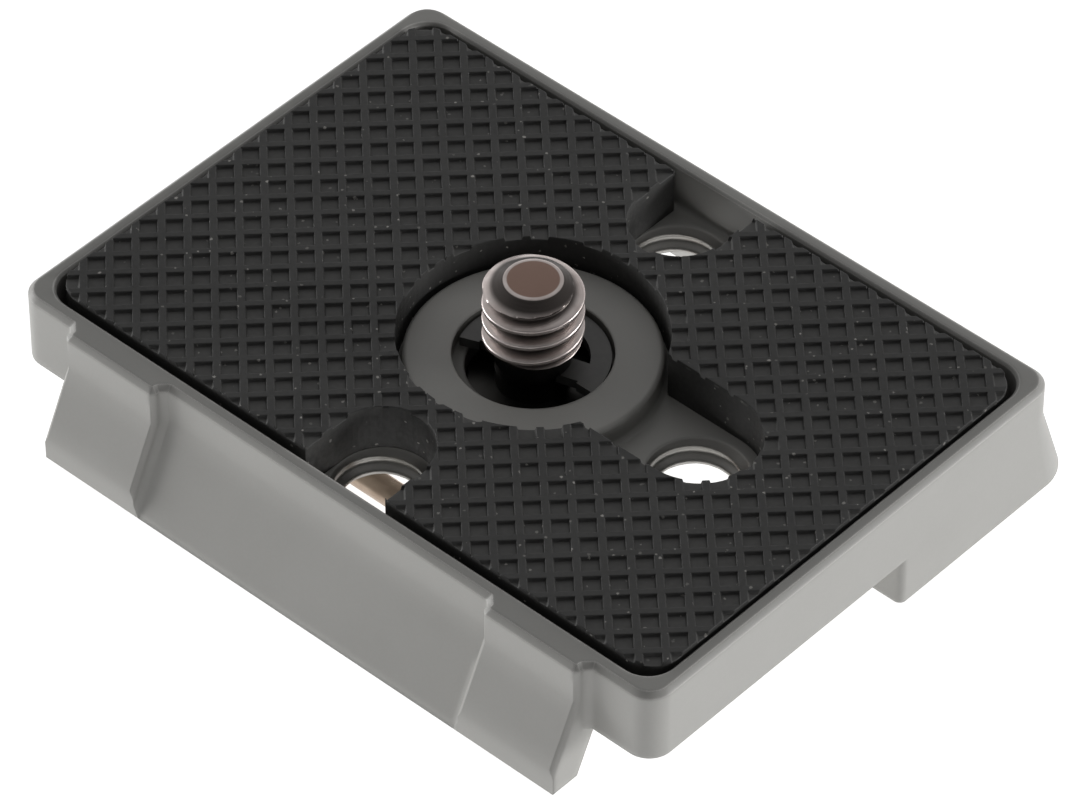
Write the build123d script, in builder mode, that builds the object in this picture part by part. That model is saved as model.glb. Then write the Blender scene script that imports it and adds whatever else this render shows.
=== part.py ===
"""Tripod quick release plate.

A die-cast plate with a flared dovetail foot, a moulded rubber grip pad set in its top, a captive camera
screw kept in by a snap ring, and a wire handle that folds away under the plate.
X runs along the plate, Y across it and Z up from the table; the screw turns about the Z axis.
"""
import math
import os

from build123d import *

# Plate
plate_length = 52.5
rim_width = 37.1
rim_top = 9.0
rim_wall = 1.15
rim_edge = 0.36
rim_inner_edge = 0.18
corner_radius = 1.7
deck_bottom = 3.65
deck_top = 5.8
recess_corner_radius = 2.0
recess_foot = 0.15

# Dovetail foot: the flanks lean out below the upright part of the long sides
flank_top = 6.2
flank_angle = 26.0
skirt_wall = 3.1
near_skirt_length = 42.4
foot_corner_radius = 3.3
foot_inner_radius = 1.2
end_wall = 2.4
end_wall_start = 4.3
end_wall_radius = 0.5

# Two raised lands on the near side
land_height = 0.95
land_length = 7.65
land_edge = 0.3
land_root = 0.4

# Boss and bore for the captive screw
boss_diameter = 16.2
boss_top = 7.45
boss_foot = 0.25
boss_edge = 0.2
clip_seat_diameter = 10.1
clip_seat_depth = 1.05
screw_bore_diameter = 8.5

# Spare threaded holes, one toward an end and one toward each long side
thread_minor = 5.15
countersink_diameter = 6.7
hole_distance = 13.5

# Grip pad
pad_end_gap = 0.2
pad_side_gap = 0.6
pad_rise = 0.25
pad_corner_radius = 2.1
pad_boss_gap = 0.4
pad_slot_width = 8.0
pad_notch_width = 6.6

# Waffle relief moulded into the pad
waffle_pitch = 1.62
waffle_rib = 0.44
waffle_depth = 0.25
waffle_draft = 18.0
waffle_clear = 0.2
waffle_angle = 45.0

# Camera screw
stud_diameter = 6.35
stud_length = 5.5
stud_top = 13.55
stud_tip_diameter = 3.6
stud_tip_height = 0.85
stud_root_height = 0.4
neck_diameter = 4.8
clip_groove_diameter = 3.8
shoulder_height = 2.2
shoulder_clearance = 0.06
head_diameter = 13.0
head_thickness = 2.85
head_edge = 0.35
head_float = 0.5
head_float_margin = 0.05
coin_slot_width = 1.8
coin_slot_depth = 1.2

# Snap ring
clip_thickness = 0.7
clip_seat_gap = 0.2
clip_rim_width = 1.3
clip_prong_width = 1.7
clip_half_span = 101.0
clip_prong_angle = 84.0
clip_turn = 11.0
clip_play = 0.05

# Wire handle
wire_diameter = 1.8
wire_play = 0.05
wire_grip_depth = 2.1
wire_end_gap = 0.1
handle_side_gap = 0.3
handle_reach = 10.7
handle_pin_turn = 0.7
handle_corner_turn = 1.6

# Places that follow from the sizes above
half_rim = rim_width / 2
lean = math.radians(flank_angle)
flare = math.tan(lean)
foot_reach = half_rim + flank_top * flare
deck_reach = half_rim + (flank_top - deck_bottom) * flare
land_face = half_rim + land_height
land_centre = (near_skirt_length - land_length) / 2
land_break = min(land_edge, 0.4 * land_height)
root_break = min(land_root, 0.5 * land_height)
rim_break = min(rim_edge, 1.25 * land_break)
clip_seat = boss_top - clip_seat_depth
pad_length = plate_length - 2 * (rim_wall + pad_end_gap)
pad_width = rim_width - 2 * (rim_wall + pad_side_gap)
pad_top = rim_top + pad_rise
head_top = deck_bottom - head_float - head_float_margin
head_bottom = head_top - head_thickness
head_radius = head_diameter / 2
wire_radius = wire_diameter / 2
handle_axis = head_bottom + head_thickness / 2
handle_arm = head_radius + handle_side_gap + wire_radius

# Plate: the upright block, with two lands standing out of its near side
with BuildPart() as plate_body:
    with BuildSketch(Plane.XY.offset(deck_bottom)) as block_plan:
        RectangleRounded(plate_length, rim_width, corner_radius)
        with Locations((-land_centre, -land_face), (land_centre, -land_face)):
            Rectangle(land_length, 2 * land_height, align=(Align.CENTER, Align.MIN))
        chamfer(block_plan.vertices().group_by(Axis.Y)[0], land_break)
        land_roots = block_plan.vertices().group_by(Axis.Y)[2].sort_by(Axis.X)[1:-1]
        chamfer(land_roots, root_break)
    extrude(amount=rim_top - deck_bottom)
    chamfer(plate_body.faces().sort_by(Axis.Z)[-1].outer_wire().edges(), rim_break)

    # Near flank: leans out to the table, its lands cut off upright where they reach the foot
    with BuildSketch(Plane.XY.offset(flank_top)) as near_plan:
        with Locations((0, -half_rim)):
            Rectangle(near_skirt_length - land_length, skirt_wall, align=(Align.CENTER, Align.MIN))
        with Locations((-land_centre, -land_face), (land_centre, -land_face)):
            Rectangle(land_length, skirt_wall, align=(Align.CENTER, Align.MIN))
        chamfer(near_plan.vertices().group_by(Axis.Y)[0], land_break)
        chamfer(near_plan.vertices().group_by(Axis.Y)[2], root_break)
    extrude(amount=flank_top / math.cos(lean), dir=(0, -math.sin(lean), -math.cos(lean)))
    with BuildSketch(Plane.XY):
        with Locations((0, -foot_reach)):
            Rectangle(plate_length, 2 * land_height, align=(Align.CENTER, Align.MAX))
    extrude(amount=flank_top, mode=Mode.SUBTRACT)

    # Far flank: full length and round both far corners, with a wall across each end
    for level, reach, radius in ((flank_top, half_rim, corner_radius), (0, foot_reach, foot_corner_radius)):
        with BuildSketch(Plane.XY.offset(level)) as far_plan:
            with Locations((0, end_wall_start)):
                Rectangle(plate_length, reach - end_wall_start, align=(Align.CENTER, Align.MIN))
            fillet(far_plan.vertices().group_by(Axis.Y)[-1], radius)
            fillet(far_plan.vertices().group_by(Axis.Y)[0], end_wall_radius)
    loft(ruled=True)
    for level, reach in ((deck_bottom, deck_reach), (0, foot_reach)):
        with BuildSketch(Plane.XY.offset(level)) as hollow_plan:
            Rectangle(plate_length - 2 * end_wall, reach - skirt_wall, align=(Align.CENTER, Align.MIN))
            fillet(hollow_plan.vertices().group_by(Axis.Y)[-1], foot_inner_radius)
    loft(ruled=True, mode=Mode.SUBTRACT)

    # Recess for the pad, with a thin rim round it
    with BuildSketch(Plane.XY.offset(deck_top)):
        RectangleRounded(plate_length - 2 * rim_wall, rim_width - 2 * rim_wall, recess_corner_radius)
    extrude(amount=rim_top - deck_top, mode=Mode.SUBTRACT)
    chamfer(plate_body.faces().sort_by(Axis.Z)[-1].inner_wires()[0].edges(), rim_inner_edge)
    recess_floor = plate_body.faces().filter_by_position(Axis.Z, deck_top - 0.01, deck_top + 0.01)[0]
    chamfer(recess_floor.outer_wire().edges(), recess_foot)

    # Boss, with the snap ring's seat and the screw's bore, and the spare threaded holes
    with BuildSketch(Plane.XY.offset(deck_top)):
        Circle(boss_diameter / 2)
    extrude(amount=boss_top - deck_top)
    boss_face = plate_body.faces().filter_by_position(Axis.Z, boss_top - 0.01, boss_top + 0.01)[0]
    chamfer(boss_face.edges(), boss_edge)
    recess_floor = plate_body.faces().filter_by_position(Axis.Z, deck_top - 0.01, deck_top + 0.01)[0]
    chamfer(recess_floor.inner_wires()[0].edges(), boss_foot)
    with Locations((0, 0, boss_top)):
        CounterBoreHole(screw_bore_diameter / 2, clip_seat_diameter / 2, clip_seat_depth)
    with Locations((hole_distance, 0, deck_top), (0, hole_distance, deck_top), (0, -hole_distance, deck_top)):
        CounterSinkHole(thread_minor / 2, countersink_diameter / 2, counter_sink_angle=90)

# One pit of the pad's waffle: square, narrowing downward, its mouth carried a little above the pad
with BuildPart() as waffle_pit:
    pit_width = waffle_pitch - waffle_rib
    pit_mouth = pit_width + 2 * waffle_clear * math.tan(math.radians(waffle_draft))
    with BuildSketch(Plane.XY.offset(waffle_clear)):
        Rectangle(pit_mouth, pit_mouth, rotation=waffle_angle)
    extrude(amount=waffle_clear + waffle_depth, dir=(0, 0, -1), taper=waffle_draft)

# Rubber pad: clears the boss, with a slot over the end hole and a notch over each side hole
with BuildPart() as grip_pad:
    with BuildSketch(Plane.XY.offset(deck_top)):
        RectangleRounded(pad_length, pad_width, pad_corner_radius)
        Circle(boss_diameter / 2 + pad_boss_gap, mode=Mode.SUBTRACT)
        with Locations((hole_distance / 2, 0)):
            SlotCenterToCenter(hole_distance, pad_slot_width, mode=Mode.SUBTRACT)
        notch_middle = hole_distance + pad_width / 2
        with Locations((0, notch_middle), (0, -notch_middle)):
            SlotCenterToCenter(pad_width, pad_notch_width, rotation=90, mode=Mode.SUBTRACT)
    extrude(amount=pad_top - deck_top)
    pad_face = grip_pad.faces().sort_by(Axis.Z)[-1]
    cell_count = math.ceil(pad_length / waffle_pitch)
    steps = [(step + 0.5) * waffle_pitch for step in range(-cell_count, cell_count)]
    cells = [Vector(x, y, pad_top).rotate(Axis.Z, waffle_angle) for x in steps for y in steps]
    cells = [cell for cell in cells if abs(cell.X) < pad_length / 2 and abs(cell.Y) < pad_width / 2]
    first_corner = Vector(waffle_pitch / 2, waffle_pitch / 2)
    corners = [first_corner.rotate(Axis.Z, waffle_angle + turn) for turn in (0, 90, 180, 270)]
    whole_cells = [cell for cell in cells if all(pad_face.is_inside(cell + corner) for corner in corners)]
    with Locations(*whole_cells):
        add(waffle_pit.part, mode=Mode.SUBTRACT, clean=False)

# Camera screw: head, shoulder, grooved neck and stud, with a coin slot and blind holes for the handle
with BuildPart() as camera_screw:
    shoulder_radius = screw_bore_diameter / 2 - shoulder_clearance
    shoulder_top = head_top + shoulder_height
    groove_bottom = clip_seat - clip_play
    groove_top = clip_seat + clip_thickness + clip_play
    stud_bottom = stud_top - stud_length
    with BuildSketch(Plane.XZ):
        with BuildLine():
            Polyline(
                (0, head_bottom),
                (head_radius - head_edge, head_bottom),
                (head_radius, head_bottom + head_edge),
                (head_radius, head_top - head_edge),
                (head_radius - head_edge, head_top),
                (shoulder_radius, head_top),
                (shoulder_radius, shoulder_top),
                (neck_diameter / 2, shoulder_top),
                (neck_diameter / 2, groove_bottom),
                (clip_groove_diameter / 2, groove_bottom),
                (clip_groove_diameter / 2, groove_top),
                (neck_diameter / 2, groove_top),
                (neck_diameter / 2, stud_bottom),
                (stud_diameter / 2, stud_bottom + stud_root_height),
                (stud_diameter / 2, stud_top - stud_tip_height),
                (stud_tip_diameter / 2, stud_top),
                (0, stud_top),
                close=True,
            )
        make_face()
    revolve(axis=Axis.Z)
    with BuildSketch(Plane.XY.offset(head_bottom)):
        Rectangle(coin_slot_width, 2 * head_diameter)
    extrude(amount=coin_slot_depth, mode=Mode.SUBTRACT)
    for side in (-1, 1):
        with BuildSketch(Plane.YZ.offset(side * (head_radius - wire_grip_depth - wire_end_gap))):
            with Locations((0, handle_axis)):
                Circle(wire_radius + wire_play)
        extrude(amount=side * head_radius, mode=Mode.SUBTRACT)

# Snap ring: an open ring whose three prongs sit in the neck's groove
with BuildPart() as retaining_clip:
    clip_radius = clip_seat_diameter / 2 - clip_seat_gap
    prong_foot = clip_groove_diameter / 2 + clip_play
    prong_reach = clip_radius - clip_rim_width / 2
    mouth_reach = 2 * clip_radius
    mouth_x = mouth_reach * math.sin(math.radians(clip_half_span))
    mouth_y = mouth_reach * math.cos(math.radians(clip_half_span))
    with BuildSketch(Plane.XY.offset(clip_seat).rotated((0, 0, clip_turn))):
        Circle(clip_radius)
        Circle(clip_radius - clip_rim_width, mode=Mode.SUBTRACT)
        with BuildLine():
            Polyline((0, 0), (mouth_x, mouth_y), (0, -2 * mouth_reach), (-mouth_x, mouth_y), close=True)
        make_face(mode=Mode.SUBTRACT)
        with PolarLocations((prong_foot + prong_reach) / 2, 3, 90 - clip_prong_angle, 2 * clip_prong_angle,
                            endpoint=True):
            Rectangle(prong_reach - prong_foot + clip_play, clip_prong_width)
        Circle(prong_foot, mode=Mode.SUBTRACT)
    extrude(amount=clip_thickness)

# Wire handle, folded flat, its ends turned in to the holes in the screw's head
with BuildPart() as wire_handle:
    pin_end = head_radius - wire_grip_depth
    half_loop = [
        (pin_end, 0),
        (handle_arm - handle_pin_turn, 0),
        (handle_arm, -handle_pin_turn),
        (handle_arm, handle_corner_turn - handle_reach),
        (handle_arm - handle_corner_turn, -handle_reach),
    ]
    with BuildLine(Plane.XY.offset(handle_axis)) as handle_path:
        Polyline(*half_loop, *[(-x, y) for x, y in reversed(half_loop)])
    with BuildSketch(Plane((pin_end, 0, handle_axis), x_dir=(0, 1, 0), z_dir=(1, 0, 0))):
        Circle(wire_radius)
    sweep(path=handle_path.wire(), transition=Transition.RIGHT)

os.makedirs("parts", exist_ok=True)
plate_body.part.label = "plate_body"
export_step(plate_body.part, "parts/plate_body.step")
grip_pad.part.label = "grip_pad"
export_step(grip_pad.part, "parts/grip_pad.step")
camera_screw.part.label = "camera_screw"
export_step(camera_screw.part, "parts/camera_screw.step")
retaining_clip.part.label = "retaining_clip"
export_step(retaining_clip.part, "parts/retaining_clip.step")
wire_handle.part.label = "wire_handle"
export_step(wire_handle.part, "parts/wire_handle.step")
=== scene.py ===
"""Looks for the tripod quick release plate.

The scene cuts the spare holes' threads and the pad's edge pits into the solids' own meshes, turns the screw
with its thread, bends the wire handle, and adds the materials, the light and the camera.
"""
import math

import bmesh
import bpy
from mathutils import Matrix, Vector


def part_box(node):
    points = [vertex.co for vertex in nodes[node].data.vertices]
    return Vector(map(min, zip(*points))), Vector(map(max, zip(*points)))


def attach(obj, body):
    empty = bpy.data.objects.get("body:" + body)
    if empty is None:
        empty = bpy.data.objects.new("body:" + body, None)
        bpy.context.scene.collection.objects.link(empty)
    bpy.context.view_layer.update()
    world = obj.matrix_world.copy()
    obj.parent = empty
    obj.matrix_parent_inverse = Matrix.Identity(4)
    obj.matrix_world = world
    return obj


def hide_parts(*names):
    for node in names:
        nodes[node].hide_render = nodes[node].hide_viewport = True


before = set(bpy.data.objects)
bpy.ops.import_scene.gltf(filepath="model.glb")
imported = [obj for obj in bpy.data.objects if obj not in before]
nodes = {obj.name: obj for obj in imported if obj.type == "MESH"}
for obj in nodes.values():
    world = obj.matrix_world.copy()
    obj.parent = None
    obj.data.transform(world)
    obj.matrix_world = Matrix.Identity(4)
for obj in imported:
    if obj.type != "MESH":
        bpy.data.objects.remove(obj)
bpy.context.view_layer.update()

# A millimetre in the scene's metres. The lengths below are in millimetres, the angles in degrees.
MM = 0.001


def extent(node):
    """A solid's lowest and highest corner."""
    return [[round(value / MM, 3) for value in corner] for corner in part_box(node)]


# Sizes that the solids' boxes give
SCREW_LOW, SCREW_HIGH = extent("camera_screw")
HEAD_R = SCREW_HIGH[0]
HEAD_BOTTOM = SCREW_LOW[2]
STUD_TOP = SCREW_HIGH[2]
HANDLE_LOW, HANDLE_HIGH = extent("wire_handle")
WIRE_R = (HANDLE_HIGH[2] - HANDLE_LOW[2]) / 2
HANDLE_AXIS = (HANDLE_HIGH[2] + HANDLE_LOW[2]) / 2
HANDLE_ARM = HANDLE_HIGH[0] - WIRE_R
HANDLE_REACH = -HANDLE_LOW[1] - WIRE_R
PAD_LOW, PAD_HIGH = extent("grip_pad")
PAD_LENGTH = PAD_HIGH[0] - PAD_LOW[0]
PAD_WIDTH = PAD_HIGH[1] - PAD_LOW[1]
PAD_TOP = PAD_HIGH[2]
DECK_TOP = PAD_LOW[2]
RIM_TOP = extent("plate_body")[1][2]

# Other sizes of the solids that the scene's pieces and materials follow
STUD_R = 3.175
STUD_BOTTOM = 8.05
TIP_R = 1.8
TIP_HEIGHT = 0.85
NECK_R = 2.4
GROOVE_R = 1.9
GROOVE_BOTTOM = 6.35
GROOVE_TOP = 7.15
SHOULDER_R = 4.19
SHOULDER_TOP = 5.3
HEAD_TOP = 3.1
COIN_SLOT_WIDTH = 1.8
COIN_SLOT_DEPTH = 1.2
HANDLE_HOLE_R = 0.95
HANDLE_HOLE_END = 4.3
HANDLE_PIN_END = 4.4
HOLE_DISTANCE = 13.5
HOLE_PLACES = ((HOLE_DISTANCE, 0.0), (0.0, HOLE_DISTANCE), (0.0, -HOLE_DISTANCE))
HOLE_MINOR_R = 2.6
DECK_BOTTOM = 3.65
BOSS_TOP = 7.45
SEAT_R = 5.08
HALF_RIM = 18.55
FLANK_TOP = 6.2
FLANK_ANGLE = 26.0
FOOT_TOP = 1.95
LAND_START = 13.4
LAND_END = 21.2
PAD_CORNER_R = 2.1
PAD_BORE_R = 8.5
PAD_SLOT_R = 4.0
PAD_NOTCH_R = 3.3
WAFFLE_PITCH = 1.62
WAFFLE_RIB = 0.44
WAFFLE_DEPTH = 0.25
WAFFLE_DRAFT = 18.0
WAFFLE_PIT = WAFFLE_PITCH - WAFFLE_RIB

# The thread of the stud and of the spare holes
THREAD_PITCH = 1.27
HOLE_MAJOR_R = 3.15


# Node helpers

# The range that most of a noise's values lie in
NOISE_LOW = 0.3
NOISE_HIGH = 0.7


class Graph:
    """A material's or world's node tree, with short ways to add and join nodes."""

    def __init__(self, tree):
        self.tree = tree
        tree.nodes.clear()

    def plug(self, node, **inputs):
        """Joins a node's inputs to sockets or sets their values; i0, i1 and so on name inputs by number."""
        for key, value in inputs.items():
            numbered = key[0] == "i" and key[1:].isdigit()
            socket = node.inputs[int(key[1:]) if numbered else key.replace("_", " ")]
            if isinstance(value, bpy.types.NodeSocket):
                self.tree.links.new(value, socket)
            else:
                socket.default_value = value
        return node

    def add(self, kind, settings=None, **inputs):
        """A new node with its settings and inputs."""
        node = self.tree.nodes.new(kind)
        for key, value in (settings or {}).items():
            setattr(node, key, value)
        return self.plug(node, **inputs)

    def axes(self, vector):
        """The three numbers of a vector."""
        return self.add("ShaderNodeSeparateXYZ", Vector=vector).outputs

    def dot(self, first, second):
        """The dot product of two vectors."""
        node = self.add("ShaderNodeVectorMath", {"operation": "DOT_PRODUCT"}, i0=first, i1=second)
        return node.outputs["Value"]

    def math(self, operation, first, second=0.0, third=0.0, clamp=False):
        settings = {"operation": operation, "use_clamp": clamp}
        return self.add("ShaderNodeMath", settings, i0=first, i1=second, i2=third).outputs[0]

    def product(self, first, *others):
        """All the numbers multiplied."""
        for other in others:
            first = self.math("MULTIPLY", first, other)
        return first

    def above(self, value, limit):
        return self.math("GREATER_THAN", value, limit)

    def below(self, value, limit):
        return self.math("LESS_THAN", value, limit)

    def radius(self, x, y):
        """The distance from an upright axis."""
        return self.math("SQRT", self.math("ADD", self.product(x, x), self.product(y, y)))

    def span(self, value, low, high, to_low=0.0, to_high=1.0):
        """A smooth step from one number to another."""
        settings = {"interpolation_type": "SMOOTHSTEP"}
        node = self.add("ShaderNodeMapRange", settings, i0=value, i1=low, i2=high, i3=to_low, i4=to_high)
        return node.outputs[0]

    def fall(self, value, low, high):
        """A smooth step from one down to nothing."""
        return self.span(value, low, high, 1.0, 0.0)

    def step(self, value, base, low, high, to_low=0.0, to_high=1.0):
        """A smooth step between two lengths from a base, in millimetres."""
        return self.span(value, (base + low) * MM, (base + high) * MM, to_low, to_high)

    def vary(self, noise, low, high):
        """A number that runs from low to high with a noise."""
        return self.span(noise, NOISE_LOW, NOISE_HIGH, low, high)

    def noise(self, place, scale, detail=2.0, roughness=0.5):
        node = self.add("ShaderNodeTexNoise", Vector=place, Scale=scale, Detail=detail, Roughness=roughness)
        return node.outputs["Fac"]

    def ramp(self, noise, dark, light, low=NOISE_LOW, high=NOISE_HIGH):
        """A colour that runs from dark to light with a noise."""
        node = self.add("ShaderNodeValToRGB", Fac=noise)
        for element, position, colour in zip(node.color_ramp.elements, (low, high), (dark, light)):
            element.position = position
            element.color = (*colour, 1.0)
        return node.outputs["Color"]

    def mix(self, fac, first, second):
        """A mix of two colours, each a socket or three numbers."""
        first, second = (value if isinstance(value, bpy.types.NodeSocket) else (*value, 1.0)
                         for value in (first, second))
        return self.add("ShaderNodeMix", {"data_type": "RGBA"}, i0=fac, i6=first, i7=second).outputs[2]

    def vector_mix(self, fac, first, second):
        return self.add("ShaderNodeMix", {"data_type": "VECTOR"}, i0=fac, i4=first, i5=second).outputs[1]

    def bump(self, height, distance, strength=1.0, normal=None):
        node = self.add("ShaderNodeBump", Height=height, Distance=distance, Strength=strength)
        if normal is not None:
            self.plug(node, Normal=normal)
        return node.outputs["Normal"]


def new_material(name):
    """A material, its graph, its shader, and each point's place on the part in metres."""
    material = bpy.data.materials.new(name)
    material.use_nodes = True
    graph = Graph(material.node_tree)
    shader = graph.add("ShaderNodeBsdfPrincipled")
    graph.add("ShaderNodeOutputMaterial", Surface=shader.outputs[0])
    place = graph.add("ShaderNodeTexCoord").outputs["Object"]
    return material, graph, shader, place


# The casting's paint

PAINT_DARK = (0.352, 0.347, 0.330)
PAINT_LIGHT = (0.384, 0.379, 0.362)
EDGE_HIGHLIGHT_PAINT = (0.78, 0.77, 0.745)
BORE_PAINTED_SHADE = (0.16, 0.157, 0.147)
BARE_METAL = (0.42, 0.41, 0.39)

# Bare metal round a spare hole's axis: its reach, how far under the deck's top it starts, how metallic it is
# and how much smoother than the paint
BARE_R = 3.3
BARE_DROP = 0.05
BARE_METALLIC = 0.85
BARE_SMOOTHER = 0.12
# How far under the boss's top the painted shade of the seat and the bore starts
BORE_DROP = 0.1

# Rounding of the casting's edges, and what the long sides' outer edges have more, up to just under the rim
EDGE_R = 0.34
SIDE_EDGE_MORE = 0.36
SIDE_EDGE_FULL = -1.0
SIDE_EDGE_NONE = -0.4
# How far inside the rim's outer face a point still counts as outside, for the edges and for the flanks
EDGE_MARGIN = 0.1
FLANK_MARGIN = 0.2
# Painted highlight along the rim's edges: its share, where it starts and is full from the rim's top, and how
# like the rounded and the true normals are where it is full and where there is none
HIGHLIGHT_SHARE = 0.9
HIGHLIGHT_NONE = -0.45
HIGHLIGHT_FULL = -0.25
HIGHLIGHT_LIKE = 0.90
UNHIGHLIT_LIKE = 0.99

# Below and above the flank's top: where the normals bend, and where they have faded into the solid's own
BEND_BELOW = 1.4
BEND_ABOVE = 1.3
FADE_BELOW = 2.6
FADE_BELOW_RUN = 1.2
FADE_ABOVE = 2.2
# Half of the bend over a land's foot, and how much lower the fade starts on a land, clear of that bend
FOOT_BEND = 1.3
LAND_FADE_DROP = 10.0
# How squarely a face looks sideways before its normals bend
FACING_LOW = 0.75
FACING_HIGH = 0.85


def soft_flanks(graph, axes, hard):
    """Normals that run smoothly over the bends of the long sides: upright side, leaning flank and foot."""
    facing = graph.axes(graph.add("ShaderNodeTexCoord").outputs["Normal"])
    side = graph.math("SIGN", axes[1])
    along = graph.math("ABSOLUTE", axes[0])
    near = graph.below(axes[1], 0.0)
    past_land = graph.product(near, graph.above(along, LAND_END * MM))
    on_land = graph.product(near, graph.above(along, LAND_START * MM))
    outer = graph.above(graph.math("ABSOLUTE", axes[1]), (HALF_RIM - FLANK_MARGIN) * MM)
    outer = graph.math("SUBTRACT", outer, past_land, clamp=True)
    sideways = graph.span(graph.product(facing[1], side), FACING_LOW, FACING_HIGH)

    fade_start = graph.math("MULTIPLY_ADD", on_land, -LAND_FADE_DROP * MM, (FLANK_TOP - FADE_BELOW) * MM)
    low = graph.span(graph.math("SUBTRACT", axes[2], fade_start), 0.0, FADE_BELOW_RUN * MM)
    high = graph.step(axes[2], FLANK_TOP, BEND_ABOVE, FADE_ABOVE, 1.0, 0.0)
    chosen = graph.product(sideways, outer, low, high)

    lean = graph.step(axes[2], FLANK_TOP, -BEND_BELOW, BEND_ABOVE, math.radians(FLANK_ANGLE), 0.0)
    foot = graph.step(axes[2], FOOT_TOP, -FOOT_BEND, FOOT_BEND)
    foot = graph.math("MAXIMUM", foot, graph.math("SUBTRACT", 1.0, on_land))
    lean = graph.product(lean, foot)
    across = graph.product(graph.math("COSINE", lean), side)
    bent = graph.add("ShaderNodeCombineXYZ", X=facing[0], Y=across, Z=graph.math("SINE", lean)).outputs[0]
    turn = {"vector_type": "NORMAL", "convert_from": "OBJECT", "convert_to": "WORLD"}
    bent = graph.add("ShaderNodeVectorTransform", turn, Vector=bent).outputs[0]
    return graph.vector_mix(chosen, hard, bent)


def soft_edges(graph, axes):
    """Normals that round the casting's edges, more so on the outside of the long sides under the rim."""
    outside = graph.above(graph.math("ABSOLUTE", axes[1]), (HALF_RIM - EDGE_MARGIN) * MM)
    under_rim = graph.step(axes[2], RIM_TOP, SIDE_EDGE_FULL, SIDE_EDGE_NONE, 1.0, 0.0)
    outside = graph.product(outside, under_rim)
    radius = graph.math("MULTIPLY_ADD", outside, SIDE_EDGE_MORE * MM, EDGE_R * MM)
    return graph.add("ShaderNodeBevel", {"samples": 8}, Radius=radius).outputs[0]


def painted_edge_highlight(graph, axes, rounded):
    """A painted highlight on the rim's edges: strongest where the rounded normals part from the true ones."""
    sameness = graph.dot(rounded, graph.add("ShaderNodeNewGeometry").outputs["Normal"])
    highlight = graph.span(sameness, HIGHLIGHT_LIKE, UNHIGHLIT_LIKE, HIGHLIGHT_SHARE, 0.0)
    return graph.product(highlight, graph.step(axes[2], RIM_TOP, HIGHLIGHT_NONE, HIGHLIGHT_FULL))


def bare_holes(graph, axes):
    """One inside the spare holes and nothing elsewhere."""
    inside = 0.0
    for x, y in HOLE_PLACES:
        reach = graph.radius(graph.math("SUBTRACT", axes[0], x * MM), graph.math("SUBTRACT", axes[1], y * MM))
        inside = graph.math("MAXIMUM", graph.below(reach, BARE_R * MM), inside)
    return graph.product(inside, graph.below(axes[2], (DECK_TOP - BARE_DROP) * MM))


def cast_paint():
    """Grey satin paint: faint mottling, a fine sprayed grain, a painted highlight on the rim's edges, painted
    shade in the bore, and bare metal in the holes.
    """
    material, graph, shader, place = new_material("cast_paint")
    axes = graph.axes(place)
    cloud = graph.noise(place, scale=160.0, detail=3.0, roughness=0.55)
    grain = graph.noise(place, scale=5200.0, roughness=0.6)
    peel = graph.noise(place, scale=900.0, detail=1.0)
    mottle = graph.math("ADD", graph.product(cloud, 0.7), graph.product(grain, 0.3))
    paint = graph.ramp(mottle, PAINT_DARK, PAINT_LIGHT)
    rounded = soft_edges(graph, axes)
    # Painted highlight: the rim's edges get a lighter colour where the rounded normals part from the true
    # ones
    paint = graph.mix(painted_edge_highlight(graph, axes, rounded), paint, EDGE_HIGHLIGHT_PAINT)
    # Painted shade: the seat and the bore under the boss's top are painted dark where they lie in shade
    bore_shade = graph.product(graph.below(graph.radius(axes[0], axes[1]), SEAT_R * MM),
                         graph.below(axes[2], (BOSS_TOP - BORE_DROP) * MM))
    paint = graph.mix(bore_shade, paint, BORE_PAINTED_SHADE)
    bare = bare_holes(graph, axes)
    rough = graph.math("SUBTRACT", graph.vary(cloud, 0.40, 0.47), graph.product(bare, BARE_SMOOTHER))
    relief = graph.math("ADD", graph.product(grain, 0.5), peel)
    form = soft_flanks(graph, axes, rounded)
    graph.plug(shader, Base_Color=graph.mix(bare, paint, BARE_METAL), Roughness=rough,
               Metallic=graph.product(bare, BARE_METALLIC), Specular_IOR_Level=0.42,
               Normal=graph.bump(relief, distance=0.005 * MM, strength=0.5, normal=form))
    return material


# The pad's rubber

RUBBER_DARK = (0.046, 0.0456, 0.0444)
RUBBER_LIGHT = (0.060, 0.0595, 0.0578)
PIT_FLOOR_PAINTED_LIGHT = (0.130, 0.1290, 0.1250)
SPECK = (0.50, 0.485, 0.455)
SPECK_SHAKE = 0.18
RUBBER_EDGE_R = 0.11
# The mask of the painted light on a pit's floor: the share of a cell over which it fades at the walls, the
# shares of the depth between which it fades upward, and the slack under it
FLOOR_FADE = 0.07
FLOOR_FULL = 0.6
FLOOR_NONE = 0.4
FLOOR_SLACK = 0.02
PIT_LIGHT_SHARE = 0.7
SPECK_SHARE = 0.9


def specks(graph, place, scale, size, share):
    """Irregular specks, one at most in each cell of a scattered grid."""
    shaken = graph.add("ShaderNodeTexNoise", Vector=place, Scale=9000.0, Detail=2.0).outputs["Color"]
    shaken = graph.add("ShaderNodeVectorMath", {"operation": "MULTIPLY_ADD"}, i0=shaken,
                       i1=(SPECK_SHAKE * MM,) * 3, i2=place).outputs[0]
    cells = graph.add("ShaderNodeTexVoronoi", Vector=shaken, Scale=scale).outputs
    draw = graph.add("ShaderNodeSeparateColor", Color=cells["Color"]).outputs
    speck = graph.fall(cells["Distance"], 0.6 * size, size)
    chosen = graph.above(draw[0], 1.0 - share)
    return graph.product(speck, chosen, graph.span(draw[1], 0.0, 1.0, 0.3, 1.0))


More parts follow.
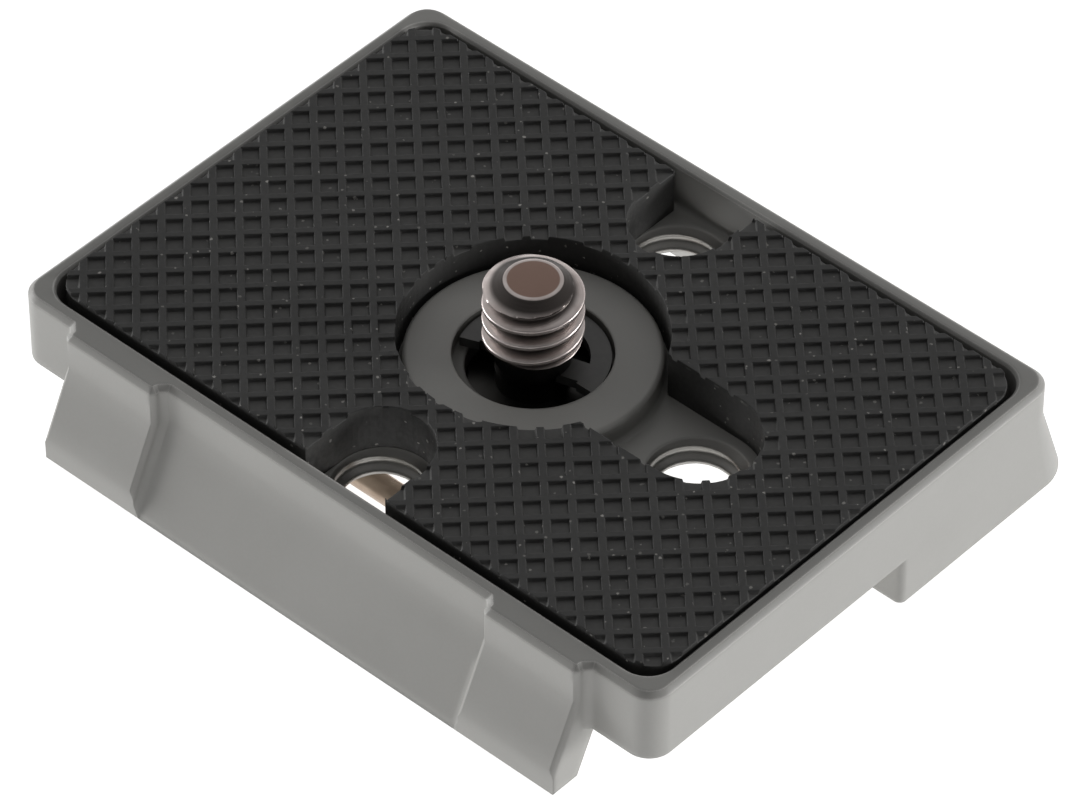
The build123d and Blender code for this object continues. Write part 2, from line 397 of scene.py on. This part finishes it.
def pit_floors(graph, axes):
    """One on the floor of each pit of the pad's waffle and nothing elsewhere."""
    cells = math.sqrt(0.5) / (WAFFLE_PITCH * MM)
    reach = 0.5 - 0.5 * WAFFLE_RIB / WAFFLE_PITCH
    pit = 1.0
    for row in (graph.math("ADD", axes[0], axes[1]), graph.math("SUBTRACT", axes[1], axes[0])):
        offset = graph.math("FRACT", graph.product(row, cells))
        offset = graph.math("ABSOLUTE", graph.math("SUBTRACT", offset, 0.5))
        pit = graph.product(graph.fall(offset, reach - FLOOR_FADE, reach), pit)
    deep = graph.step(axes[2], PAD_TOP, -FLOOR_FULL * WAFFLE_DEPTH, -FLOOR_NONE * WAFFLE_DEPTH, 1.0, 0.0)
    shallow = graph.above(axes[2], (PAD_TOP - WAFFLE_DEPTH - FLOOR_SLACK) * MM)
    return graph.product(pit, deep, shallow)


def rubber():
    """Matt black moulded rubber with a fine skin, painted light on its pit floors and pale specks all over.
    """
    material, graph, shader, place = new_material("grip_rubber")
    skin = graph.noise(place, scale=3000.0, detail=3.0, roughness=0.6)
    patch = graph.noise(place, scale=120.0)
    coarse = specks(graph, place, scale=1000.0, size=0.13, share=0.55)
    fine = specks(graph, place, scale=2100.0, size=0.19, share=0.16)
    colour = graph.ramp(patch, RUBBER_DARK, RUBBER_LIGHT)
    # Painted light: the pit floors are made lighter to offset the shade that falls in them
    colour = graph.mix(graph.product(pit_floors(graph, graph.axes(place)), PIT_LIGHT_SHARE), colour, PIT_FLOOR_PAINTED_LIGHT)
    colour = graph.mix(graph.product(graph.math("MAXIMUM", coarse, fine), SPECK_SHARE), colour, SPECK)
    rounded = graph.add("ShaderNodeBevel", {"samples": 6}, Radius=RUBBER_EDGE_R * MM).outputs[0]
    graph.plug(shader, Base_Color=colour, Roughness=graph.vary(skin, 0.48, 0.64), Specular_IOR_Level=0.45,
               Normal=graph.bump(skin, distance=0.012 * MM, strength=0.6, normal=rounded))
    return material


# Steel of the screw, the handle and the snap ring

STEEL_DARK = (0.56, 0.485, 0.460)
STEEL_LIGHT = (0.76, 0.690, 0.665)
THREAD_ROOT_SHADE = (0.055, 0.048, 0.044)
STUD_FACE_PAINTED_REFLECTION = (0.29, 0.195, 0.160)
NECK_PAINTED_SHADE = (0.065, 0.063, 0.060)
WIRE_DARK = (0.36, 0.28, 0.22)
WIRE_LIGHT = (0.50, 0.41, 0.33)
CLIP_DARK = (0.085, 0.084, 0.082)
CLIP_LIGHT = (0.125, 0.123, 0.119)
LATHE_FEED = 0.09
# The range of the patches' noise that the steels' colours take up
PATCH_LOW = 0.32
PATCH_HIGH = 0.68
# Where the colours change: from the stud's top, from the edge of its end face, out from the thread's root,
# and from the stud's lower end
END_NONE, END_FULL = -0.06, -0.03
FACE_FULL, FACE_NONE = -0.22, -0.12
ROOT_FULL, ROOT_NONE = 0.05, 0.55
NECK_FULL, NECK_NONE = -0.1, 0.15
ROOT_SHADE_SHARE = 0.95


def screw_steel():
    """Turned steel: a bright thread with painted shade in its roots, a painted brown reflection on its end
    face, painted shade on its neck and a bright head.
    """
    material, graph, shader, place = new_material("screw_steel")
    axes = graph.axes(place)
    reach = graph.radius(axes[0], axes[1])
    patch = graph.noise(place, scale=520.0, detail=3.0, roughness=0.6)
    bright = graph.ramp(patch, STEEL_DARK, STEEL_LIGHT, PATCH_LOW, PATCH_HIGH)
    end = graph.step(axes[2], STUD_TOP, END_NONE, END_FULL)
    # Painted reflection: the end face is painted brown, standing in for the warm surroundings it reflects
    end_face = graph.product(end, graph.step(reach, TIP_R, FACE_FULL, FACE_NONE, 1.0, 0.0))
    # Painted shade: the thread's roots are painted near black where shade falls between the crests
    root = graph.step(reach, NECK_R, ROOT_FULL, ROOT_NONE, ROOT_SHADE_SHARE, 0.0)
    root = graph.product(root, graph.math("SUBTRACT", 1.0, end))
    # Painted shade: the plain neck under the thread, down in the bore, is painted near black where it lies in
    # shade
    neck_shade = graph.step(axes[2], STUD_BOTTOM, NECK_FULL, NECK_NONE, 1.0, 0.0)
    head = graph.below(axes[2], HEAD_TOP * MM)
    colour = graph.mix(root, bright, THREAD_ROOT_SHADE)
    colour = graph.mix(end_face, colour, STUD_FACE_PAINTED_REFLECTION)
    colour = graph.mix(neck_shade, colour, NECK_PAINTED_SHADE)
    colour = graph.mix(head, colour, bright)
    turns = graph.product(graph.math("ADD", reach, axes[2]), 2.0 * math.pi / (LATHE_FEED * MM))
    graph.plug(shader, Base_Color=colour, Metallic=1.0, Roughness=graph.vary(patch, 0.44, 0.32),
               Normal=graph.bump(graph.math("SINE", turns), distance=0.003 * MM, strength=0.35))
    return material


def wire_steel():
    """Plated wire with darker, browner patches and a fine drawn grain."""
    material, graph, shader, place = new_material("handle_steel")
    patch = graph.noise(place, scale=420.0, detail=3.0, roughness=0.6)
    grain = graph.noise(place, scale=6000.0)
    colour = graph.ramp(patch, WIRE_DARK, WIRE_LIGHT, PATCH_LOW, PATCH_HIGH)
    graph.plug(shader, Base_Color=colour, Metallic=1.0, Roughness=graph.vary(patch, 0.38, 0.26),
               Normal=graph.bump(grain, distance=0.004 * MM, strength=0.5))
    return material


def blackened():
    """Blackened spring steel with a slightly oily, stamped face."""
    material, graph, shader, place = new_material("clip_black")
    patch = graph.noise(place, scale=700.0, detail=3.0, roughness=0.6)
    grain = graph.noise(place, scale=5000.0)
    colour = graph.ramp(patch, CLIP_DARK, CLIP_LIGHT)
    graph.plug(shader, Base_Color=colour, Metallic=0.15, Roughness=graph.vary(patch, 0.34, 0.48),
               Normal=graph.bump(grain, distance=0.006 * MM, strength=0.5))
    return material


# Mesh helpers

# The distance at which points are joined, and the angle between faces from which an edge is sharp
WELD = 0.001
SHARP_ANGLE = 38.0


def clamp(value):
    """A number kept between nothing and one."""
    return min(1.0, max(0.0, value))


def turned_row(radii, z, start=0.0, x=0.0, y=0.0):
    """A loop of points round an upright axis, one for each radius; start turns it by a part of a step."""
    row = []
    for i, radius in enumerate(radii):
        angle = 2 * math.pi * ((i + start) / len(radii))
        row.append((x + radius * math.cos(angle), y + radius * math.sin(angle), z))
    return row


def ring_mesh(rows, name):
    """A closed mesh from rows of points, each row one loop; a row of one point closes an end."""
    mesh = bpy.data.meshes.new(name)
    build = bmesh.new()
    loops = [[build.verts.new(Vector(p) * MM) for p in row] for row in rows]
    for low, high in zip(loops, loops[1:]):
        count = max(len(low), len(high))
        for i in range(count):
            j = (i + 1) % count
            if len(low) == 1:
                build.faces.new((low[0], high[j], high[i]))
            elif len(high) == 1:
                build.faces.new((low[i], low[j], high[0]))
            else:
                build.faces.new((low[i], low[j], high[j], high[i]))
    bmesh.ops.recalc_face_normals(build, faces=build.faces[:])
    bmesh.ops.triangulate(build, faces=build.faces[:])
    build.to_mesh(mesh)
    build.free()
    return mesh


def place_object(mesh, name):
    thing = bpy.data.objects.new(name, mesh)
    bpy.context.scene.collection.objects.link(thing)
    return thing


def welded_copy(node, name):
    """A solid's mesh as a new object, with the points that its faces share joined."""
    build = bmesh.new()
    build.from_mesh(nodes[node].data)
    bmesh.ops.remove_doubles(build, verts=build.verts[:], dist=WELD * MM)
    mesh = bpy.data.meshes.new(name)
    build.to_mesh(mesh)
    build.free()
    return place_object(mesh, name)


def smooth(mesh, angle):
    """Smooth shading, with the edges sharp where faces meet at more than the angle."""
    mesh.polygons.foreach_set("use_smooth", [True] * len(mesh.polygons))
    mesh.set_sharp_from_angle(angle=math.radians(angle))
    mesh.update()


def cut(target, cutters):
    """Cuts the cutters from a piece's mesh, clears the slivers that this leaves and removes the cutters."""
    for cutter in cutters:
        step = target.modifiers.new("cut", "BOOLEAN")
        step.operation = "DIFFERENCE"
        step.solver = "EXACT"
        step.object = cutter
    bpy.context.view_layer.update()
    result = bpy.data.meshes.new_from_object(target.evaluated_get(bpy.context.evaluated_depsgraph_get()))
    target.modifiers.clear()
    clean = bmesh.new()
    clean.from_mesh(result)
    bmesh.ops.remove_doubles(clean, verts=clean.verts[:], dist=WELD * MM)
    bmesh.ops.dissolve_degenerate(clean, edges=clean.edges[:], dist=WELD * MM)
    clean.to_mesh(result)
    clean.free()
    target.data = result
    target.data.name = target.name
    for cutter in cutters:
        bpy.data.objects.remove(cutter)


# The casting with the threads of its spare holes

TAP_SIDES = 96
TAP_STEPS = 48
# The part of a step by which the tap is turned, so that its edges miss those of the hole
TAP_START = 0.37
# How far the tap reaches under the deck, and how far under the deck's top it ends
TAP_PAST = 0.6
TAP_SHORT = 0.1
# The tap's teeth, as shares of a pitch and of the thread's depth: flat where they pass a depth of one
TAP_PEAK = 1.45
TAP_SLOPE = 3.4
PLATE_SHARP_ANGLE = 24.0


def tap_radius(turn, z):
    """The tap's outside at a part of a turn and a height."""
    phase = (z / THREAD_PITCH - turn) % 1.0
    tooth = clamp(TAP_PEAK - TAP_SLOPE * abs(phase - 0.5))
    return HOLE_MINOR_R + (HOLE_MAJOR_R - HOLE_MINOR_R) * tooth


def tap(x, y):
    """A threaded rod that cuts one spare hole's thread, from under the deck to its countersink."""
    low, high = DECK_BOTTOM - TAP_PAST, DECK_TOP - TAP_SHORT
    rows = [[(x, y, low)]]
    for k in range(TAP_STEPS + 1):
        z = low + (high - low) * k / TAP_STEPS
        radii = [tap_radius((i + TAP_START) / TAP_SIDES, z) for i in range(TAP_SIDES)]
        rows.append(turned_row(radii, z, TAP_START, x, y))
    rows.append([(x, y, high)])
    return place_object(ring_mesh(rows, "tap"), "tap")


def tapped_plate():
    """The casting with the threads cut in its spare holes. The solid's own normals don't fit the cut mesh."""
    thing = welded_copy("plate_body", "tapped_plate")
    cut(thing, [tap(x, y) for x, y in HOLE_PLACES])
    thing.data.attributes.remove(thing.data.attributes["custom_normal"])
    smooth(thing.data, PLATE_SHARP_ANGLE)
    step = thing.modifiers.new("flat faces", "WEIGHTED_NORMAL")
    step.keep_sharp = True
    return thing


# The rubber pad with the cells that its edges cut through

# A cell is tried at points this many steps each way from its middle, and needs this many of them on rubber
TRY_STEPS = 4
TRIES_NEEDED = 8
# How far a pit's cutter stands above the pad
PIT_MOUTH = 0.2


def in_pad(x, y):
    """Whether a point of the pad's top is on rubber, inside its outline and clear of its cut-outs."""
    over_x = abs(x) - (PAD_LENGTH / 2 - PAD_CORNER_R)
    over_y = abs(y) - (PAD_WIDTH / 2 - PAD_CORNER_R)
    inside = math.hypot(max(over_x, 0.0), max(over_y, 0.0)) < PAD_CORNER_R
    bored = math.hypot(x, y) < PAD_BORE_R
    slotted = math.hypot(x - min(max(x, 0.0), HOLE_DISTANCE), y) < PAD_SLOT_R
    notched = math.hypot(x, min(abs(y) - HOLE_DISTANCE, 0.0)) < PAD_NOTCH_R
    return inside and not (bored or slotted or notched)


def edge_cells():
    """Centres of the waffle's cells that the pad's outline cuts through."""
    reach = WAFFLE_PITCH * math.sqrt(0.5)
    corners = ((reach, 0), (-reach, 0), (0, reach), (0, -reach))
    half_pit = WAFFLE_PIT * math.sqrt(0.5) / 2
    offsets = [k / TRY_STEPS * half_pit for k in range(-TRY_STEPS, TRY_STEPS + 1)]
    count = math.ceil(PAD_LENGTH / WAFFLE_PITCH)
    found = []
    for i in range(-count, count):
        for j in range(-count, count):
            x, y = (i - j) * reach, (i + j + 1) * reach
            whole = all(in_pad(x + dx, y + dy) for dx, dy in corners)
            shared = sum(in_pad(x + a - b, y + a + b) for a in offsets for b in offsets)
            if not whole and shared >= TRIES_NEEDED:
                found.append((x, y))
    return found


def pit_cutter(cells):
    """One closed square pit for each cell, narrowing downward, its mouth above the pad."""
    build = bmesh.new()
    flare = math.tan(math.radians(WAFFLE_DRAFT))
    for x, y in cells:
        rings = []
        for height in (-WAFFLE_DEPTH, PIT_MOUTH):
            reach = (WAFFLE_PIT / 2 + height * flare) * math.sqrt(2.0)
            corners = ((x + reach, y), (x, y + reach), (x - reach, y), (x, y - reach))
            rings.append([build.verts.new(Vector((a, b, PAD_TOP + height)) * MM) for a, b in corners])
        low, high = rings
        build.faces.new(low[::-1])
        build.faces.new(high)
        for i in range(4):
            j = (i + 1) % 4
            build.faces.new((low[i], low[j], high[j], high[i]))
    mesh = bpy.data.meshes.new("edge_pits")
    build.to_mesh(mesh)
    build.free()
    return place_object(mesh, "edge_pits")


def waffle_pad():
    """The pad with the cells that its edges cut through, beside the whole ones that it has already."""
    thing = welded_copy("grip_pad", "waffle_pad")
    cut(thing, [pit_cutter(edge_cells())])
    thing.data.polygons.foreach_set("use_smooth", [False] * len(thing.data.polygons))
    return thing


# The turned screw

SCREW_SIDES = 128
STUD_STEPS = 110
EDGE_STEPS = 4
HEAD_EDGE = 0.35
SHOULDER_EDGE = 0.15
# The thread's start round the stud, and the shares of half a pitch that its root and its flank take
THREAD_START = 0.15
ROOT_SHARE = 0.22
FLANK_SHARE = 0.62
# The plain neck under the thread's run-out, and the run-out
PLAIN_NECK = 0.15
RUN_OUT = 0.45
# The broken edge of the stud's end face, and the lathe centre's mark in it
TIP_EDGE = 0.08
TIP_EDGE_DROP = 0.02
CENTRE_R = 0.35
CENTRE_DEPTH = 0.02
# How far the cutters of the slot and of the handle's holes reach past the head
SLOT_PAST = 2.0
HOLE_PAST = 1.0
HOLE_SIDES = 50
# The turn that keeps a hole cutter's edges off the head's own
HOLE_TURN = 2.0


def thread_radius(turn, z):
    """The stud's outside at a part of a turn and a height: a rounded thread, its run-out and the tip."""
    phase = ((z - STUD_TOP) / THREAD_PITCH - turn + THREAD_START) % 1.0
    crest = clamp((abs(phase - 0.5) * 2.0 - ROOT_SHARE) / FLANK_SHARE)
    crest = crest * crest * (3.0 - 2.0 * crest)
    start = clamp((z - STUD_BOTTOM - PLAIN_NECK) / RUN_OUT)
    tip = TIP_R + (STUD_TOP - z) * (STUD_R - TIP_R) / TIP_HEIGHT
    return min(NECK_R + (STUD_R - NECK_R) * crest * start, tip)


def neck_outline():
    """Radius and height along the head with its broken edges, the shoulder and the grooved neck."""
    bends = [math.pi / 2 * k / EDGE_STEPS for k in range(EDGE_STEPS + 1)]
    edge = [(HEAD_R - HEAD_EDGE * (1 - math.sin(bend)), HEAD_EDGE * (1 - math.cos(bend))) for bend in bends]
    outline = [(radius, HEAD_BOTTOM + rise) for radius, rise in edge]
    outline += [(radius, HEAD_TOP - rise) for radius, rise in reversed(edge)]
    outline += [(SHOULDER_R, HEAD_TOP), (SHOULDER_R, SHOULDER_TOP - SHOULDER_EDGE)]
    outline += [(SHOULDER_R - SHOULDER_EDGE, SHOULDER_TOP), (NECK_R, SHOULDER_TOP)]
    outline += [(NECK_R, GROOVE_BOTTOM), (GROOVE_R, GROOVE_BOTTOM), (GROOVE_R, GROOVE_TOP)]
    return outline + [(NECK_R, GROOVE_TOP), (NECK_R, STUD_BOTTOM)]


def screw_rows():
    """Loops of points from the head's underside over the neck and the threaded stud to its end face."""
    rows = [[(0.0, 0.0, HEAD_BOTTOM)]]
    rows += [turned_row([radius] * SCREW_SIDES, z) for radius, z in neck_outline()]
    for k in range(1, STUD_STEPS):
        z = STUD_BOTTOM + (STUD_TOP - STUD_BOTTOM) * k / STUD_STEPS
        rows.append(turned_row([thread_radius(i / SCREW_SIDES, z) for i in range(SCREW_SIDES)], z))
    end_face = ((TIP_R, TIP_EDGE_DROP), (TIP_R - TIP_EDGE, 0.0), (CENTRE_R, CENTRE_DEPTH / 2))
    rows += [turned_row([radius] * SCREW_SIDES, STUD_TOP - drop) for radius, drop in end_face]
    return rows + [[(0.0, 0.0, STUD_TOP - CENTRE_DEPTH)]]


def camera_screw():
    """The screw turned as one piece, with a coin slot and the handle's holes cut in its head."""
    thing = place_object(ring_mesh(screw_rows(), "screw_blank"), "turned_screw")
    slot_height = COIN_SLOT_DEPTH + SLOT_PAST
    slot_middle = HEAD_BOTTOM + (COIN_SLOT_DEPTH - SLOT_PAST) / 2
    bpy.ops.mesh.primitive_cube_add(size=1.0, location=(0, 0, slot_middle * MM))
    slot = bpy.context.object
    slot.scale = (COIN_SLOT_WIDTH * MM, 3 * HEAD_R * MM, slot_height * MM)
    cutters = [slot]
    hole_end = HEAD_R + HOLE_PAST
    for side in (-1, 1):
        middle = side * (HANDLE_HOLE_END + hole_end) / 2
        bpy.ops.mesh.primitive_cylinder_add(
            vertices=HOLE_SIDES, radius=HANDLE_HOLE_R * MM, depth=(hole_end - HANDLE_HOLE_END) * MM,
            location=(middle * MM, 0, HANDLE_AXIS * MM), rotation=(math.radians(HOLE_TURN), math.pi / 2, 0))
        cutters.append(bpy.context.object)
    cut(thing, cutters)
    smooth(thing.data, SHARP_ANGLE)
    return thing


# The bent wire handle

WIRE_SIDES = 32
BEND_STEPS = 12
WIRE_EDGE = 0.15
# The bends at the pins and at the loop's corners, on the wire's centre line
PIN_BEND_R = 1.19
LOOP_BEND_R = 2.7


def wire_row(x, y, angle, radius):
    """A loop round the wire at a point of its centre line; the angle says which way is outward there."""
    row = []
    for i in range(WIRE_SIDES):
        turn = 2 * math.pi * i / WIRE_SIDES
        reach, rise = radius * math.cos(turn), radius * math.sin(turn)
        row.append((x + reach * math.sin(angle), y + reach * math.cos(angle), HANDLE_AXIS + rise))
    return row


def bent_handle():
    """The wire loop with round bends, its ends turned in to the holes of the screw's head."""
    steps = [(HANDLE_PIN_END, 0.0, 0.0, WIRE_R - WIRE_EDGE), (HANDLE_PIN_END + WIRE_EDGE, 0.0, 0.0, WIRE_R)]
    bends = ((PIN_BEND_R, -PIN_BEND_R, 0.0), (LOOP_BEND_R, LOOP_BEND_R - HANDLE_REACH, 90.0))
    for radius, y, start in bends:
        for k in range(BEND_STEPS + 1):
            angle = math.radians(start + 90.0 * k / BEND_STEPS)
            x = HANDLE_ARM - radius + radius * math.sin(angle)
            steps.append((x, y + radius * math.cos(angle), angle, WIRE_R))
    half = [[(HANDLE_PIN_END, 0.0, HANDLE_AXIS)]] + [wire_row(*step) for step in steps]
    other = [[(-x, y, z) for x, y, z in row] for row in reversed(half)]
    mesh = ring_mesh(half + other, "bent_handle")
    smooth(mesh, SHARP_ANGLE)
    return place_object(mesh, "bent_handle")


# Put the looks on

def dress(thing, material):
    thing.data.materials.clear()
    thing.data.materials.append(material)


dress(nodes["retaining_clip"], blackened())

plate = tapped_plate()
dress(plate, cast_paint())
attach(plate, "plate")
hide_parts("plate_body")

pad = waffle_pad()
dress(pad, rubber())
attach(pad, "plate")
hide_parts("grip_pad")

screw = camera_screw()
dress(screw, screw_steel())
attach(screw, "screw")
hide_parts("camera_screw")

handle = bent_handle()
dress(handle, wire_steel())
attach(handle, "handle")
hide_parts("wire_handle")


# Floor, light and camera

# The floor's side in metres, and how far it lies under the part
FLOOR_SIDE = 6.0
FLOOR_DROP = 0.02
FLOOR_COLOUR = (0.80, 0.80, 0.80, 1.0)
FLOOR_GLOW = 0.90
# The height on the part that the lamps face
LAMP_AIM = 5.0
# The room's light low down and high up, what it has more behind the part, and the way to there
ROOM_LOW = 0.04
ROOM_HIGH = 0.08
BEHIND_MORE = 0.38
BEHIND_WAY = (-0.51, 0.57, 0.64)
# The camera's place round, above and away from the part, its roll, and its shift to the right and up
VIEW_AZIMUTH = 42.16
VIEW_ELEVATION = 44.02
VIEW_ROLL = 0.14
VIEW_DISTANCE = 446.7
VIEW_RIGHT = 0.43
VIEW_UP = 2.14
# The lens's focal length in pixels of the photograph, the photograph's width in them, and the sensor's width
FOCAL_PIXELS = 7184.0
PHOTO_PIXELS = 1080.0
SENSOR_WIDTH = 36.0


def floor():
    """A white light table: its own glow is the pale ground, and its matt face takes the part's shadow."""
    bpy.ops.mesh.primitive_plane_add(size=FLOOR_SIDE, location=(0, 0, -FLOOR_DROP * MM))
    thing = bpy.context.object
    thing.name = "floor"
    material = bpy.data.materials.new("pale_floor")
    material.use_nodes = True
    graph = Graph(material.node_tree)
    matt = graph.add("ShaderNodeBsdfDiffuse", Color=FLOOR_COLOUR)
    glow = graph.add("ShaderNodeEmission", Color=(1.0, 1.0, 1.0, 1.0), Strength=FLOOR_GLOW)
    both = graph.add("ShaderNodeAddShader", i0=matt.outputs[0], i1=glow.outputs[0])
    graph.add("ShaderNodeOutputMaterial", Surface=both.outputs[0])
    thing.data.materials.append(material)


def lamp(name, azimuth, elevation, distance, width, height, power):
    """A soft rectangular lamp that faces the part, in metres and watts. Azimuth is from +X toward +Y."""
    data = bpy.data.lights.new(name, "AREA")
    data.shape = "RECTANGLE"
    data.size = width
    data.size_y = height
    data.energy = power
    thing = bpy.data.objects.new(name, data)
    bpy.context.scene.collection.objects.link(thing)
    a, e = math.radians(azimuth), math.radians(elevation)
    toward = Vector((math.cos(a) * math.cos(e), math.sin(a) * math.cos(e), math.sin(e)))
    thing.location = toward * distance + Vector((0, 0, LAMP_AIM * MM))
    thing.rotation_euler = toward.to_track_quat("Z", "Y").to_euler()


def sky():
    """A dim room, brighter behind the part, with a white backdrop low down that gives no light of its own."""
    world = bpy.data.worlds.new("studio")
    bpy.context.scene.world = world
    world.use_nodes = True
    graph = Graph(world.node_tree)
    way = graph.add("ShaderNodeTexCoord").outputs["Generated"]
    height = graph.axes(way)[2]
    room = graph.span(height, 0.0, 0.5, ROOM_LOW, ROOM_HIGH)
    behind = graph.span(graph.dot(way, BEHIND_WAY), 0.1, 0.97, 0.0, BEHIND_MORE)
    room = graph.math("ADD", room, behind)
    rays = graph.add("ShaderNodeLightPath").outputs
    seen = graph.math("MAXIMUM", rays["Is Camera Ray"], rays["Is Glossy Ray"])
    seen = graph.math("MAXIMUM", seen, rays["Is Transmission Ray"])
    backdrop = graph.product(seen, graph.fall(height, 0.15, 0.3))
    room = graph.product(room, graph.math("SUBTRACT", 1.0, backdrop))
    tone = graph.math("ADD", room, backdrop)
    ground = graph.add("ShaderNodeBackground", Color=tone, Strength=1.0)
    graph.add("ShaderNodeOutputWorld", Surface=ground.outputs[0])


def camera():
    """The photograph's viewpoint: a long lens, 42 degrees round from the long side and 44 degrees up."""
    azimuth, elevation, roll = (math.radians(v) for v in (VIEW_AZIMUTH, VIEW_ELEVATION, VIEW_ROLL))
    level = math.cos(elevation)
    back = Vector((math.sin(azimuth) * level, -math.cos(azimuth) * level, math.sin(elevation)))
    side = Vector((math.cos(azimuth), math.sin(azimuth), 0.0))
    top = back.cross(side)
    right = side * math.cos(roll) + top * math.sin(roll)
    up = top * math.cos(roll) - side * math.sin(roll)
    data = bpy.data.cameras.new("camera")
    data.sensor_fit = "HORIZONTAL"
    data.sensor_width = SENSOR_WIDTH
    data.lens = SENSOR_WIDTH * FOCAL_PIXELS / PHOTO_PIXELS
    data.clip_start = 0.01
    thing = bpy.data.objects.new("camera", data)
    bpy.context.scene.collection.objects.link(thing)
    matrix = Matrix((right, up, back)).transposed().to_4x4()
    matrix.translation = (back * VIEW_DISTANCE + right * VIEW_RIGHT + up * VIEW_UP) * MM
    thing.matrix_world = matrix
    bpy.context.scene.camera = thing


floor()
sky()
lamp("key", azimuth=38, elevation=8, distance=0.7, width=0.30, height=0.16, power=2.6)
lamp("fill", azimuth=203, elevation=3, distance=0.8, width=0.40, height=0.12, power=4.2)
camera()
bpy.context.scene.view_settings.view_transform = "Standard"
